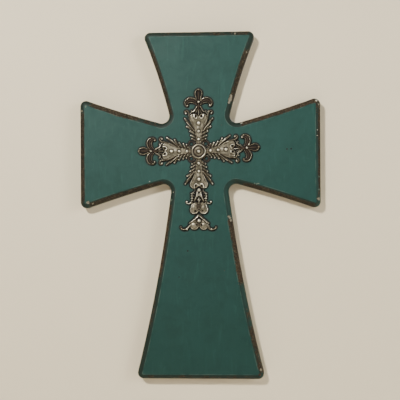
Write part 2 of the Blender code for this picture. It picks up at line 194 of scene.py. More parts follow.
def growBar(bm, place, path, widths, crests, base=0.0):
    # a bar of oval section with round ends; widths and crests are given at root, middle and tip
    stations = []
    for index, point in enumerate(path):
        along = (path[min(index + 1, len(path) - 1)] - path[max(index - 1, 0)]).normalized()
        share = index / (len(path) - 1)
        stations.append((point, along, between(widths, share), between(crests, share)))
    first, last = stations[0], stations[-1]
    for ahead, size in ((0.5, 0.86), (0.88, 0.46)):
        stations.insert(0, (first[0] - first[1] * first[2] * ahead, first[1],
                            first[2] * size, first[3] * size))
        stations.append((last[0] + last[1] * last[2] * ahead, last[1], last[2] * size, last[3] * size))
    sections = []
    for point, along, width, crest in stations:
        turned = Matrix(((-along.y * width, 0, along.x, point.x),
                         (along.x * width, 0, along.y, point.y),
                         (0, crest, 0, base),
                         (0, 0, 0, 1)))
        sections.append(place @ turned)
    bar = bmesh.new()
    bmesh.ops.create_circle(bar, cap_ends=True, segments=casting["barSides"], radius=1, matrix=sections[0])
    cap = bar.faces[:]
    for before, after in zip(sections, sections[1:]):
        grown = bmesh.ops.extrude_face_region(bar, geom=cap)["geom"]
        bmesh.ops.transform(bar, matrix=after @ before.inverted(), verts=vertsIn(grown))
        cap = facesIn(grown)
    joinInto(bm, bar)


def growBars(bm, place, hand, rows):
    # bars along curved paths: start, heading, length, turn, curl, widths and crests
    for start, heading, length, turn, curl, widths, crests in rows:
        growBar(bm, place, curvedPath(start, heading, length, turn, curl, hand), widths, crests)


def joinInto(bm, part):
    bmesh.ops.recalc_face_normals(part, faces=part.faces)
    mesh = bpy.data.meshes.new("part")
    part.to_mesh(mesh)
    part.free()
    bm.from_mesh(mesh)
    bpy.data.meshes.remove(mesh)


def setBead(bm, place, u, v, radius, height, flat=1.0, long=1.0):
    at = place @ Matrix.Translation((u, v, height)) @ Matrix.Diagonal((long, 1, flat, 1))
    bead = bmesh.new()
    bmesh.ops.create_uvsphere(bead, u_segments=16, v_segments=10, radius=radius, matrix=at)
    joinInto(bm, bead)


def setJewel(bm, place, u, v, radius, height):
    # a bead that keeps its shine, with stain in the ring round it
    setBead(bm, place, u, v, radius, height)
    jewels.append((place @ Vector((u, v, 0)), radius))


def setDimple(place, u, v, radius):
    dimples.append((place @ Vector((u, v, 0)), radius))


def tint(place, u, v, radius, tone):
    # a patch wiped bright (tone 1) or left brown (tone -1)
    tints.append((place @ Vector((u, v, 0)), radius, tone))


def barbPath(root, tip, turn, hand):
    along = Vector(tip) - Vector(root)
    half = math.radians(turn) / 2
    length = along.length * half / math.sin(half)
    return curvedPath(root, math.degrees(math.atan2(along.y, along.x)) - turn / 2, length, turn, 0, hand)


def setRing(bm, place, u, v, radius, thickness, crest):
    ringMesh = bmesh.new()
    section = Matrix.Translation((radius, 0, 0)) @ Matrix.Diagonal((thickness, 1, crest, 1))
    section = section @ Matrix.Rotation(math.pi / 2, 4, "X")
    bmesh.ops.create_circle(ringMesh, segments=10, radius=1, matrix=section)
    bmesh.ops.spin(ringMesh, geom=ringMesh.verts[:] + ringMesh.edges[:], cent=(0, 0, 0), axis=(0, 0, 1),
                   angle=2 * math.pi, steps=28, use_merge=True)
    bmesh.ops.transform(ringMesh, matrix=place @ Matrix.Translation((u, v, 0)), verts=ringMesh.verts)
    joinInto(bm, ringMesh)


def bowedEdge(bm, start, end, bow):
    # an edge from start to end that swells to its left by bow
    steps = casting["edgeSteps"]
    start, end = Vector(start), Vector(end)
    first = bm.verts.new((*start, 0))
    if abs(bow) < 0.01:
        grown = bmesh.ops.extrude_vert_indiv(bm, verts=[first])
        bmesh.ops.translate(bm, verts=grown["verts"], vec=(*(end - start), 0))
        bmesh.ops.subdivide_edges(bm, edges=grown["edges"], cuts=steps - 1)
        return
    chord = end - start
    left = Vector((-chord.y, chord.x)).normalized()
    radius = chord.length_squared / (8 * abs(bow)) + abs(bow) / 2
    away = radius - abs(bow)
    centre = (start + end) / 2 - left * away * math.copysign(1, bow)
    turn = 2 * math.asin(min(1, chord.length / 2 / radius))
    if abs(bow) > chord.length / 2:
        turn = 2 * math.pi - turn
    bmesh.ops.spin(bm, geom=[first], cent=(*centre, 0), axis=(0, 0, 1),
                   angle=-math.copysign(turn, bow), steps=steps)


def setPlate(bm, place, half, edge, layers):
    # a plate that is the same on both sides of the arm's middle line, given as points with the bow of the
    # edge that follows each; its rim and field are rows of insets and rises
    plate = bmesh.new()
    for (start, bow), (end, _) in zip(half, half[1:]):
        bowedEdge(plate, start, end, bow)
    bmesh.ops.mirror(plate, geom=plate.verts[:] + plate.edges[:], axis="Y", merge_dist=0.02)
    bmesh.ops.remove_doubles(plate, verts=plate.verts, dist=0.02)
    for point in (half[0][0], half[-1][0]):
        if abs(point[1]) > 0.05:
            near = [vert for vert in plate.verts
                    if abs(vert.co.x - point[0]) < 0.01 and abs(abs(vert.co.y) - abs(point[1])) < 0.01]
            bmesh.ops.contextual_create(plate, geom=near)
    bmesh.ops.translate(plate, verts=plate.verts, vec=(0, 0, -1))
    bmesh.ops.edgeloop_fill(plate, edges=plate.edges)
    stepIn(plate, liftFace(plate, topFace(plate), edge + 1), layers)
    bmesh.ops.transform(plate, matrix=place, verts=plate.verts)
    joinInto(bm, plate)


def heartHalf(tip, lobe, bow):
    # one side of a heart: from its point, up the side, round the lobe and down to the notch
    start, centre, radius = Vector(tip), Vector(lobe[:2]), lobe[2]
    away = centre - start
    lean = math.atan2(away.y, away.x) + math.asin(radius / away.length)
    shoulder = centre + Vector((-math.sin(lean), math.cos(lean))) * radius
    crown = centre + Vector((radius, 0))
    low = centre + Vector((math.cos(math.pi / 3), -math.sin(math.pi / 3))) * radius
    notch = Vector((low.x - low.y, 0.0))
    rise = (crown - shoulder).length
    deep = (low - crown).length
    sag = radius - math.sqrt(radius**2 - (deep / 2) ** 2)
    swell = radius - math.sqrt(max(0, radius**2 - (rise / 2) ** 2))
    points = (start, shoulder, crown, low, notch)
    return tuple((tuple(point), swelling) for point, swelling in zip(points, (bow, swell, sag, 0, 0)))


# The leaves beside a heart: root, tip and how far each turns
barbs = (
    ((9.4, 2.4), (12.5, 6.6), 50), ((12.2, 2.7), (15.8, 7.5), 50), ((15.2, 3.0), (20.0, 8.5), 45),
    ((18.4, 3.6), (24.6, 11.6), 32), ((21.4, 4.4), (32.6, 13.7), -6),
)


def heartAndBarbs(bm, place):
    # a heart with three beads and two small volutes, and curling leaves down both its sides
    heart = heartHalf((6.0, 2.6), (32.8, 4.6, 4.4), -2.0)
    setPlate(bm, place, heart, 1.8, ((0.35, 0.5), (0.35, 0.1), (0.3, -0.3), (0.3, 0.15)))
    setBead(bm, place, 24.6, 0, 4.5, 0, flat=0.56, long=2.1)
    for u, radius in ((12.0, 1.4), (19.9, 1.45), (27.8, 1.8)):
        setJewel(bm, place, u, 0, radius, 2.5)
    for u, radius in ((9.5, 2.3), (13.5, 2.6), (17.5, 3.0), (21.5, 3.7), (25.5, 4.6), (29.5, 5.6)):
        tint(place, u, 0, radius, 1)
    for hand in (1, -1):
        tint(place, 33.0, 4.6 * hand, 3.6, 1)
        volute = curvedPath((36.4, 4.6), 179, 6.4, 27, 174, hand)
        growBar(bm, place, volute, (0.55, 0.65, 0.55), (0.8, 1.0, 0.8), base=2.2)
        setDimple(place, 34.2, 3.0 * hand, 1.0)
        tint(place, 34.2, 3.0 * hand, 2.0, -0.6)
        for root, tip, turn in barbs:
            leaf = barbPath(root, tip, turn, hand)
            growBar(bm, place, leaf, (0.95, 1.15, 0.75), (1.6, 2.4, 1.8))
            for point in leaf[:-2:2]:
                tint(place, point.x, point.y, 1.3, -0.45)
            if turn > 0:
                setBead(bm, place, leaf[-1].x, leaf[-1].y, 0.78, 1.2)
        vein = curvedPath((20.4, 4.6), 38, 11.0, 4, 0, hand)
        growBar(bm, place, vein, (0.5, 0.6, 0.4), (0.6, 0.7, 0.5), base=2.0)


# Ribs of the cup, hooks of the neck and rails beside the heart
crownBars = (
    ((35.0, 4.4), -27, 9.0, 0, 0, 0.45, 1.3),
    ((34.0, 7.0), -32, 7.0, 0, 0, 0.4, 1.2),
    ((45.0, 0.7), 125.6, 10.0, 110, -240, (0.85, 0.8, 0.6), (2.1, 2.4, 1.8)),
    ((21.5, 4.4), 24, 12.2, -4, 0, (0.6, 0.8, 0.85), (2.0, 2.4, 2.2)),
)


def straightSided(*points):
    return tuple((point, 0) for point in points)


def crownAndLily(bm, place):
    # the end of an arm: rails and hooks over the heart, a ribbed cup, a neck and a lily of three petals
    cup = straightSided((31.0, 0), (31.0, 7.8), (35.5, 8.6), (38.4, 8.0), (39.2, 5.0), (41.0, 1.8),
                        (44.5, 1.0), (44.5, 0))
    setPlate(bm, place, cup, 0.6, ((0.3, 0.15),))
    growBar(bm, place, curvedPath((35.0, 0), 0, 13.0), (0.6, 1.0, 1.3), (1.6, 2.4, 2.3))
    setJewel(bm, place, 48.9, 0, 1.35, 2.1)
    petal = (((47.0, 0), 0), ((47.0, 1.0), 0.1), ((54.5, 3.2), 0.25), ((58.2, 3.7), 0.5), ((61.0, 1.7), 0.3),
             ((61.6, 0), 0))
    setPlate(bm, place, petal, 1.5, ((0.3, 0.6), (0.35, 0.05), (0.3, -0.8), (0.3, -0.2)))
    growBar(bm, place, curvedPath((49.5, 0), 0, 9.4), (0.7, 1.2, 0.85), (1.8, 2.0, 1.6))
    for u in range(42, 61, 2):
        tint(place, u, 0, 1.5, -1)
    setBead(bm, place, 60.9, 0, 1.2, 1.9)
    for hand in (1, -1):
        growBars(bm, place, hand, crownBars)
        hook = curvedPath((32.2, 8.4), 19.3, 12.7, -63.8, 309, hand)
        growBar(bm, place, hook, (0.85, 0.85, 0.65), (2.1, 2.5, 1.9))
        setBead(bm, place, hook[-1].x, hook[-1].y, 0.95, 1.3)
        for point in hook[:-3:3]:
            tint(place, point.x, point.y, 1.2, -0.5)
        spine = curvedPath((46.8, 1.3), 33, 16.0, 96, 96.5, hand)
        wide = (0.9, 2.35, 0.7)
        growBar(bm, place, spine, wide, (1.6, 1.5, 1.5))
        for point in spine[3:-3:3]:
            tint(place, point.x, point.y, 1.7, -1)
        growBar(bm, place, beside(spine, wide, 0.95 * -hand), (0.6, 0.7, 0.55), (2.2, 2.7, 2.1))
        growBar(bm, place, beside(spine, wide, 0.92 * hand), (0.45, 0.4, 0.45), (1.8, 1.9, 1.8))
        growBar(bm, place, spine[3:-4], (0.7, 0.95, 0.6), (1.8, 2.0, 1.7))
        setBead(bm, place, spine[-1].x, spine[-1].y, 1.05, 1.5)


# Scrolls between the rails, and the rails
scrollBars = (
    ((39.6, 1.7), 0, 13.6, 46, 0, (0.95, 1.15, 0.9), (2.4, 3.1, 2.6)),
    ((42.0, 0.5), 8, 5.0, 30, 0, (0.6, 0.8, 0.5), (2.0, 2.5, 2.0)),
    ((47.6, 1.0), 24, 4.6, 10, 0, (0.5, 0.7, 0.5), (1.6, 2.0, 1.6)),
    ((40.8, 5.4), 49.4, 11.2, -138, 117.6, (0.55, 0.65, 0.6), (1.8, 2.2, 2.1)),
)
footDomes = ((57.0, 4.7, 3.9, 0.38, 1.4), (74.2, 4.9, 4.2, 0.40, 1.0), (70.4, 4.7, 2.6, 0.55, 1.0))
footWiped = ((58.4, 5.0, 4.0), (54.6, 5.4, 3.4), (74.2, 5.0, 4.0), (70.6, 5.0, 2.8), (44.0, 1.6, 1.7))


def footScrolls(bm, place):
    # the casting's foot: a bead, scrolls between notched rails, an upturned heart, and a broad last heart
    setJewel(bm, place, 38.7, 0, 1.7, 1.9)
    back = straightSided((35.0, 0), (35.0, 4.0), (40.2, 4.4), (41.4, 6.6), (44.0, 7.2), (47.0, 7.0),
                         (50.0, 6.8), (53.0, 7.0), (53.0, 0))
    setPlate(bm, place, back, 0.7, ((0.3, 0.15),))
    for tip, lobe, bow in (((51.2, 4.4), (58.5, 4.75, 4.3), 1.1), ((63.0, 0.9), (74.2, 4.8, 4.3), 0.5)):
        heart = heartHalf(tip, lobe, bow)
        setPlate(bm, place, heart, 1.5, ((0.35, 0.5), (0.35, 0.1), (0.3, -0.35), (0.6, 0.3)))
    setJewel(bm, place, 69.3, 0, 1.9, 2.5)
    growBar(bm, place, curvedPath((46.6, 0), 0, 6.8), (0.6, 0.75, 0.5), (2.4, 3.2, 2.4))
    leaf = (((52.6, 0), 0), ((54.6, 2.2), 0.2), ((58.0, 0), 0))
    setPlate(bm, place, leaf, 2.0, ((0.4, 0.5),))
    tint(place, 54.9, 0, 1.7, -1)
    for hand in (1, -1):
        growBars(bm, place, hand, scrollBars)
        for u, v in ((46.0, 2.4), (48.5, 3.6), (50.8, 5.0)):
            tint(place, u, v * hand, 1.8, -0.25)
        for u in (42.2, 44.7, 47.2, 49.6):
            growBar(bm, place, curvedPath((u, 7.7), 262, 3.4, 28, 0, hand), (0.5, 0.5, 0.35), (2.3, 2.3, 1.6))
            setDimple(place, u + 1.25, 5.6 * hand, 1.0)
        setDimple(place, 50.4, 1.9 * hand, 1.1)
        length = 7.9 if hand < 0 else 7.5
        hook = curvedPath((49.6, 6.6), 33, length, 44, 117.5, hand)
        growBar(bm, place, hook, (0.8, 0.65, 0.5), (1.8, 2.1, 1.6))
        setBead(bm, place, hook[-1].x, hook[-1].y, 0.95, 1.4)
        growBar(bm, place, curvedPath((51.6, 3.9), 165, 4.4, 40, 60, hand), 0.45, (2.0, 2.5, 2.0))
        for u, v, radius, flat, long in footDomes:
            setBead(bm, place, u, v * hand, radius, 0.9, flat, long)
        for u, v, radius in footWiped:
            tint(place, u, v * hand, radius, 1)
        for u, v, radius in ((59.8, 3.6, 0.95), (73.8, 2.5, 0.85), (77.2, 0.6, 0.8), (61.6, 0.4, 0.9)):
            setDimple(place, u, v * hand, radius)
        growBar(bm, place, curvedPath((64.2, 0.2), 46, 12.2, 8, 0, hand), (0.75, 0.85, 0.7), (3.0, 3.2, 2.6))
        if hand < 0:
            tendril = curvedPath((74.2, 9.0), 36, 12.4, 47, 98, hand)
        else:
            tendril = curvedPath((74.2, 9.0), 2, 11.5, 150, 8, hand)
        growBar(bm, place, tendril, (1.1, 0.95, 0.55), (2.1, 2.2, 1.5))
        setBead(bm, place, tendril[-1].x, tendril[-1].y, 0.75, 1.2)
        setBead(bm, place, 78.0, 12.3 * hand, 1.15, 1.2)


def setBoss(bm):
    # round boss in the middle: a raised rim, a groove, a dome and a pearl; the four small loops round it are
    # added by makeCasting
    profile = bmesh.new()
    points = ((7.7, -1.0), (7.7, 2.4), (7.45, 3.1), (7.0, 3.5), (6.4, 3.6), (5.9, 3.3), (5.6, 2.6),
              (5.3, 2.4), (5.0, 2.7), (3.9, 3.1), (2.4, 3.3), (0.0, 3.4))
    lead = profile.verts.new((points[0][0], 0, points[0][1]))
    for before, after in zip(points, points[1:]):
        grown = bmesh.ops.extrude_vert_indiv(profile, verts=[lead])
        lead = grown["verts"][0]
        bmesh.ops.translate(profile, verts=[lead], vec=(after[0] - before[0], 0, after[1] - before[1]))
    bmesh.ops.spin(profile, geom=profile.verts[:] + profile.edges[:], cent=(0, 0, 0), axis=(0, 0, 1),
                   angle=2 * math.pi, steps=48, use_merge=True)
    bmesh.ops.remove_doubles(profile, verts=profile.verts, dist=0.001)
    bmesh.ops.holes_fill(profile, edges=profile.edges, sides=0)
    joinInto(bm, profile)
    setJewel(bm, Matrix(), 0, 0, 1.6, 3.5)


def makeCasting():
    metal = bmesh.new()
    setBoss(metal)
    arms = ((casting["topAngle"], casting["topSize"]), (casting["rightAngle"], casting["sideSize"]),
            (casting["leftAngle"], casting["sideSize"]), (casting["footAngle"], 1.0))
    for angle, size in arms:
        place = Matrix.Rotation(math.radians(angle), 4, "Z") @ Matrix.Diagonal((size, size, 1, 1))
        heartAndBarbs(metal, place)
        if angle == casting["footAngle"]:
            footScrolls(metal, place)
        else:
            crownAndLily(metal, place)
    around = (casting["rightAngle"], casting["topAngle"], casting["leftAngle"], casting["footAngle"],
              casting["rightAngle"] + 360)
    for angle, after in zip(around, around[1:]):
        turned = Matrix.Rotation(math.radians((angle + after) / 2), 4, "Z")
        setRing(metal, turned, 10.4, 0, 2.75, 0.5, 1.0)
    print("casting drawn:", len(metal.faces), "faces")

    bmesh.ops.scale(metal, vec=(casting["drawn"],) * 3, verts=metal.verts)
    metal = modified(metal, "REMESH", mode="VOXEL", voxel_size=casting["voxel"], use_smooth_shade=True)
    for _ in range(casting["smoothing"]):
        bmesh.ops.smooth_vert(metal, verts=metal.verts, factor=casting["smoothFactor"],
                              use_axis_x=True, use_axis_y=True, use_axis_z=True)
    bmesh.ops.bisect_plane(metal, geom=metal.verts[:] + metal.edges[:] + metal.faces[:], dist=0.0001,
                           plane_co=(0, 0, 0), plane_no=(0, 0, 1), clear_inner=True)
    rim = [edge for edge in metal.edges if edge.is_boundary]
    bmesh.ops.triangle_fill(metal, edges=rim, use_beauty=False, use_dissolve=False, normal=(0, 0, -1))
    print("casting's back:", len(rim), "edges, left open:", sum(edge.is_boundary for edge in metal.edges))
    bmesh.ops.translate(metal, verts=metal.verts, vec=(casting["shift"], casting["rise"], casting["back"]))
    piece = pieceFrom(metal, "cast_ornament")
    markCasting(piece.data)
    metal = bmesh.new()
    metal.from_mesh(piece.data)
    metal = modified(metal, "DECIMATE", ratio=casting["kept"])
    metal.to_mesh(piece.data)
    metal.free()
    piece.data.shade_smooth()
    print("casting run together:", len(piece.data.loop_triangles), "triangles")
    return piece


def markCasting(mesh):
    # notes at each point what the metal's finish needs to know, and presses the dimples in: first how far the
    # point stands proud of what is round it, near and wide, and how high above the back it is
    count = len(mesh.vertices)
    places = np.empty(count * 3, dtype=np.float32)
    normals = np.empty(count * 3, dtype=np.float32)
    pairs = np.empty(len(mesh.edges) * 2, dtype=np.int32)
    mesh.vertices.foreach_get("co", places)
    mesh.vertex_normals.foreach_get("vector", normals)
    mesh.edges.foreach_get("vertices", pairs)
    places = places.reshape(-1, 3).astype(np.float64) * 1000
    normals, pairs = normals.reshape(-1, 3), pairs.reshape(-1, 2)
    ends = np.concatenate((pairs[:, 0], pairs[:, 1]))
    others = np.concatenate((pairs[:, 1], pairs[:, 0]))
    degree = np.bincount(ends, minlength=count).clip(1)
    spread = places.copy()
    proud = {}
    for turn in range(1, casting["wideTurns"] + 1):
        summed = [np.bincount(ends, weights=spread[others, axis], minlength=count) for axis in range(3)]
        spread = 0.4 * spread + 0.6 * np.stack(summed, 1) / degree[:, None]
        if turn in (casting["nearTurns"], casting["wideTurns"]):
            proud[turn] = ((places - spread) * normals).sum(1)
    storeValues(mesh, "proudNear", proud[casting["nearTurns"]])
    storeValues(mesh, "proudWide", proud[casting["wideTurns"]])
    lift = -places[:, 1] - casting["back"]
    storeValues(mesh, "aboveBack", lift)

    # the lilies, the tails and the loops round the boss are browner than the hearts
    across = places[:, 0] - casting["shift"]
    along = places[:, 2] - casting["rise"]
    reach = np.sqrt(across**2 + along**2)
    onFoot = (along < -20) & (np.abs(across) < 25)
    lily = np.clip((reach - casting["lilyStarts"]) / 7.0, 0, 1) * np.where(onFoot, 0.25, 1.0)
    tails = np.clip((np.abs(across) - casting["tailsStart"]) / 3.0, 0, 1) * (along < -48)
    aside = np.minimum(np.abs(across), np.abs(along))
    inCorner = (reach > casting["bossEdge"]) & (reach < casting["loopsEdge"]) & (aside > 4.6)
    storeValues(mesh, "outward", np.maximum(np.maximum(lily, tails), inCorner))

    def awayFrom(place):
        return np.hypot(across - place.x * casting["drawn"], along - place.y * casting["drawn"])

    fromJewel = np.full(count, 3.0)
    for place, radius in jewels:
        fromJewel = np.minimum(fromJewel, awayFrom(place) - radius)
    storeValues(mesh, "fromJewel", fromJewel)
    wiped, browned = np.zeros(count), np.zeros(count)
    for place, radius, tone in tints:
        patch = np.clip((radius + 0.3 - awayFrom(place)) / 0.8, 0, 1)
        if tone > 0:
            wiped = np.maximum(wiped, patch * tone)
        else:
            browned = np.maximum(browned, -patch * tone)
    onBossRim = (reach > 5.4) & (reach < casting["bossEdge"])
    onBossDome = (reach < 5.2) & (reach > 1.8)
    for where, tone in ((onBossRim, 0.65), (inCorner, 0.75), (onBossDome, 0.2)):
        browned = np.maximum(browned, tone * where)
    storeValues(mesh, "wiped", wiped)
    storeValues(mesh, "browned", browned)
    sunk = np.zeros(count)
    for place, radius in dimples:
        sunk = np.maximum(sunk, np.clip(1.35 - awayFrom(place) / radius, 0, 1))
    storeValues(mesh, "sunk", sunk)
    depth = sunk**2 * (3 - 2 * sunk) * np.clip(lift - 0.8, 0, 1.0)
    lowered = places.astype(np.float32) / 1000
    lowered[:, 1] += (depth / 1000).astype(np.float32)
    mesh.vertices.foreach_set("co", lowered.ravel())


# The board

board = {
    "topReach": 122.5,
    "sideReach": 120.8,
    "footReach": 226.3,
    "topEndHalf": 58.0,
    "sideEndHalf": 56.8,
    "footEndHalf": 65.2,
    "crossingHalf": 27.7,
    "topHollow": 2.1,           # how far the sides of an arm bend in
    "sideHollow": 1.0,
    "footHollow": 3.2,
    "thickness": 15.0,
    "notchFillet": 7.5,
    "edgeRound": 4.8,
    "faceStep": 0.45,
    "faceStepRun": 0.25,
    "faceCorner": 0.8,
    "backChamfer": 0.8,
    "spacing": 0.62,            # between the points of the outline
    "wallRows": 3,
    "roundSteps": 9,
    "faceRows": ((0.06, 0.1), (0.08, 0.22), (0.11, 0.13), (0.25, 0.0)),     # inset and rise of the small step
    "gridSpacing": 2.0,         # of the cuts across the face
    "gridOffset": 0.37,
    "gridSpans": ((0, -118, 118), (1, -223, 118)),
    "finer": ((2, 2.6, 4.5), (1, 0.0, 2.6)),    # cuts, and how near the casting and a chip they are made
    "sharpAngle": 38.0,
    "waver": 0.10,              # how far the sanded edge wanders in
    "chipReach": 4.5,
    "rubbedReach": 14.0,        # how far from a rubbed stretch it still shows
    "rubbedLow": (8, 12.5),     # past the rim, where rubbing fades out down the side
    "gouge": 0.16,              # depth of the hollows in a rubbed edge
    "keyholeRise": 68.0,
    "keyholeRadius": 5.0,
    "keyholeNeck": 5.2,
    "keyholeTravel": 16.0,
    "keyholeLip": 3.0,
    "keyholeDepth": 8.0,
    "teal": ((0.0058, 0.0405, 0.0335), (0.0068, 0.0445, 0.0375)),
    "tealMottle": (0.0040, 0.0300, 0.0240),
    "tealStroke": (0.0150, 0.0700, 0.0580),
    "tealGrain": (0.0220, 0.0850, 0.0730),
    # painted shade: the teal is made darker towards the foot, standing in for the light falling off lower
    # down
    "footShade": (0.40, 0.50, 0.46),                 # darkens the foot
    # dark glaze for the step and the rounding, also painted shade on the rounding
    "stain": (0.0050, 0.0120, 0.0078),
    "brown": ((0.0088, 0.0070, 0.0034), (0.0225, 0.0168, 0.0084)),
    "redBrown": ((0.0180, 0.0100, 0.0047), (0.0520, 0.0280, 0.0126)),
    "fleck": (0.1000, 0.0780, 0.0460),
    "bareBack": ((0.115, 0.075, 0.042), (0.165, 0.112, 0.066)),
    # a lighter teal for a thin line along the edge of the face
    "faceEdgeLine": (0.0750, 0.1150, 0.0900),
    # painted shadow round the casting, with some dark glaze
    "washAndShadow": (0.0016, 0.0026, 0.0018),
    "chipShade": (0.45, 0.40, 0.32),
    "filler": (0.190, 0.172, 0.128),
    "chalk": (0.40, 0.38, 0.32),
    "worn": (0.070, 0.110, 0.088),
    "chipBrown": (0.040, 0.018, 0.009),
    "pinhole": (0.0040, 0.0060, 0.0050),
    "outsideChips": (0.3, 0.3, 0.2),            # blends into the rim of a chip
}
shoulder = board["thickness"] - board["faceStep"] - board["edgeRound"]      # where the rounding starts

# Where the paint is rubbed off the edge: from, to, how much, how far down the rounding it starts,
# how far it creeps onto the face, how red
rubbedEdges = (
    ((-49.1, 106.2), (-30.0, 37.3), 1.00, 1.5, 0.2, 0.0),
    ((48.8, 104.3), (31.8, 50.6), 0.90, 1.0, 0.55, 0.0),
    ((-110.8, 50.2), (-59.2, 35.1), 1.00, 0.7, 0.6, 0.1),
    ((-59.2, 35.1), (-37.1, 28.3), 0.50, 1.5, 0.2, 0.0),
    ((-119.7, 43.2), (-120.2, -48.5), 0.95, 0.6, 0.2, 0.0),
    ((-113.3, -50.5), (-33.4, -29.8), 0.90, 1.3, 0.2, 0.0),
    ((-31.0, -48.9), (-42.9, -124.0), 0.95, 2.2, 0.2, 0.4),
    ((-42.9, -124.0), (-55.4, -194.3), 0.38, 2.4, 0.1, 0.0),
    ((41.0, 30.6), (116.5, 53.7), 1.00, 0.9, 0.5, 0.4),
    ((120.2, 49.6), (119.7, -44.7), 0.70, 2.6, 0.2, 0.1),
    ((40.7, -31.3), (115.9, -52.6), 0.90, 1.6, 0.2, 0.1),
    ((30.0, -64.2), (43.2, -130.0), 0.86, 1.0, 0.55, 0.3),
    ((47.5, -154.0), (50.9, -169.9), 0.62, 1.2, 0.4, 0.3),
    ((50.9, -171.9), (62.1, -222.7), 0.62, 1.3, 0.5, 0.2),
    ((5.5, 121.4), (53.4, 120.7), 0.50, 1.2, 0.3, 0.0),
    ((-48.7, 122.2), (5.5, 121.4), 0.36, 1.5, 0.2, 0.0),
    ((-58.5, -224.4), (59.6, -223.7), 0.40, 1.5, 0.2, 0.0),
)

# Chips and specks: place, size, depth, and what shows in them
chips = (
    ((31.8, 57.2), 1.6, 0.7, "filler"), ((31.0, 53.8), 2.0, 0.9, "filler"),
    ((30.1, 50.8), 1.5, 0.6, "filler"), ((48.0, 100.8), 1.2, 0.3, "filler"),
    ((46.0, 92.8), 1.0, 0.3, "filler"), ((45.2, 86.4), 0.8, 0.2, "filler"),
    ((42.0, 31.3), 1.5, 0.9, "chalk"), ((40.2, 32.0), 0.9, 0.5, "chalk"),
    ((-119.0, 44.0), 1.2, 0.5, "filler"), ((-114.5, 48.5), 1.0, 0.3, "worn"),
    ((-112.8, -48.7), 1.6, 0.6, "filler"), ((-108.2, -50.0), 1.0, 0.3, "filler"),
    ((-50.2, -27.8), 0.75, 0.1, "chalk"), ((-26.9, -38.4), 0.85, 0.2, "chalk"),
    ((-29.5, -46.2), 1.5, 0.4, "worn"), ((-30.4, -42.9), 0.9, 0.2, "worn"),
    ((116.8, 52.5), 1.3, 0.6, "chalk"), ((119.4, 48.2), 1.2, 0.4, "filler"),
    ((117.3, 22.6), 0.62, 0.2, "chalk"), ((117.3, 17.2), 0.58, 0.2, "chalk"),
    ((120.1, -16.9), 1.1, 0.5, "filler"), ((119.8, -23.8), 1.3, 0.6, "worn"),
    ((120.0, -29.8), 1.0, 0.5, "filler"), ((119.6, -36.7), 1.3, 0.6, "worn"),
    ((119.0, -45.8), 1.7, 0.8, "filler"), ((57.4, -30.6), 1.0, 0.1, "worn"),
    ((55.2, -30.0), 0.8, 0.1, "worn"), ((29.9, -63.7), 1.8, 0.7, "filler"),
    ((31.5, -66.7), 1.5, 0.4, "filler"), ((49.1, -158.0), 1.3, 0.4, "chipBrown"),
    ((50.9, -166.9), 1.1, 0.2, "worn"), ((59.3, -202.8), 1.3, 0.5, "filler"),
    ((60.3, -209.7), 1.4, 0.5, "chipBrown"), ((60.6, -216.2), 1.5, 0.7, "filler"),
    ((59.1, -221.2), 1.5, 0.6, "chipBrown"), ((36.0, 120.0), 1.3, 1.0, "filler"),
    ((32.5, 120.7), 1.0, 0.4, "chipBrown"), ((-50.0, 100.7), 1.2, 0.4, "chipBrown"),
    ((-12.3, -97.4), 0.85, 0.3, "pinhole"), ((-21.0, -123.4), 0.75, 0.3, "pinhole"),
    ((24.5, -116.9), 0.5, 0.1, "pinhole"), ((22.2, 28.1), 0.5, 0.1, "pinhole"),
    ((87.2, 3.8), 0.9, 0.0, "pinhole"), ((91.2, 3.9), 0.9, 0.0, "pinhole"),
    ((-4.5, -65.0), 0.5, 0.1, "worn"), ((26.6, -53.2), 0.45, 0.1, "worn"),
    ((26.9, -48.2), 0.4, 0.1, "worn"),
)
edgeMarks = ("pastRim", "rubbed", "hold", "creep", "redness", "glazeAndShade", "fromMetal", "chipped")


def armSide(reach, endHalf, hollow):
    neck = Vector((board["crossingHalf"], board["crossingHalf"]))
    tip = Vector((endHalf, reach))
    chord = tip - neck
    away = Vector((chord.y, -chord.x)).normalized()
    radius = chord.length_squared / (8 * hollow) + hollow / 2
    return (neck + tip) / 2 + away * (radius - hollow), radius


def notchCentre(first, second, fillet):
    (a, aRadius), (b, bRadius) = first, second
    near, far = aRadius - fillet, bRadius - fillet
    gap = b - a
    along = (near**2 - far**2 + gap.length_squared) / (2 * gap.length)
    aside = math.sqrt(near**2 - along**2)
    middle = a + gap.normalized() * along
    normal = Vector((-gap.y, gap.x)).normalized()
    return min((middle + normal * aside, middle - normal * aside), key=lambda point: point.length)


def drawArc(bm, centre, start, end):
    first = math.atan2(start.y - centre.y, start.x - centre.x)
    last = math.atan2(end.y - centre.y, end.x - centre.x)
    turn = (last - first + math.pi) % (2 * math.pi) - math.pi
    steps = max(2, round(abs(turn) * (start - centre).length / board["spacing"]))
    lead = bm.verts.new((*start, 0))
    bmesh.ops.spin(bm, geom=[lead], cent=(*centre, 0), axis=(0, 0, 1), angle=turn, steps=steps)


def drawLine(bm, start, end):
    grown = bmesh.ops.extrude_vert_indiv(bm, verts=[bm.verts.new((*start, 0))])
    bmesh.ops.translate(bm, verts=grown["verts"], vec=(*(end - start), 0))
    cuts = round((end - start).length / board["spacing"]) - 1
    bmesh.ops.subdivide_edges(bm, edges=grown["edges"], cuts=cuts)


